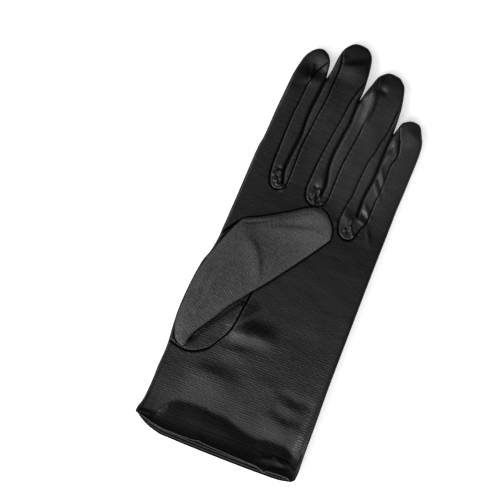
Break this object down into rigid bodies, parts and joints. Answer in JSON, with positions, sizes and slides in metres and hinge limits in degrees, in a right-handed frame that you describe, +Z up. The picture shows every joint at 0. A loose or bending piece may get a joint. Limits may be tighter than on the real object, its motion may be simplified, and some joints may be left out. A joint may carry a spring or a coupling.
{
  "type": "wrist length dress glove",
  "caption": "Black stretch satin dress glove for the left hand, wrist length, laid flat on its back, palm up, with the thumb folded across the palm.",
  "frame": {"origin": "on the surface that the back of the glove rests on, below the middle of its length and width", "axes": "+X across the glove to the little finger's side, +Y along it to the fingertips, +Z up out of the palm"},
  "size_m": [0.0918, 0.2308, 0.0168],
  "materials": {
    "trank_satin": "black stretch satin with fine ribs across the hand",
    "thumb_satin": "black stretch satin with fine ribs across the thumb",
    "fourchette_satin": "black stretch satin",
    "hem_satin": "black stretch satin, turned under and stitched"
  },
  "bodies": {
    "root": {"trank": "trank_satin", "thumb": "thumb_satin", "fourchette_index_middle": "fourchette_satin", "fourchette_middle_ring": "fourchette_satin", "fourchette_ring_little": "fourchette_satin", "cuff_hem": "hem_satin"}
  },
  "joints": []
}
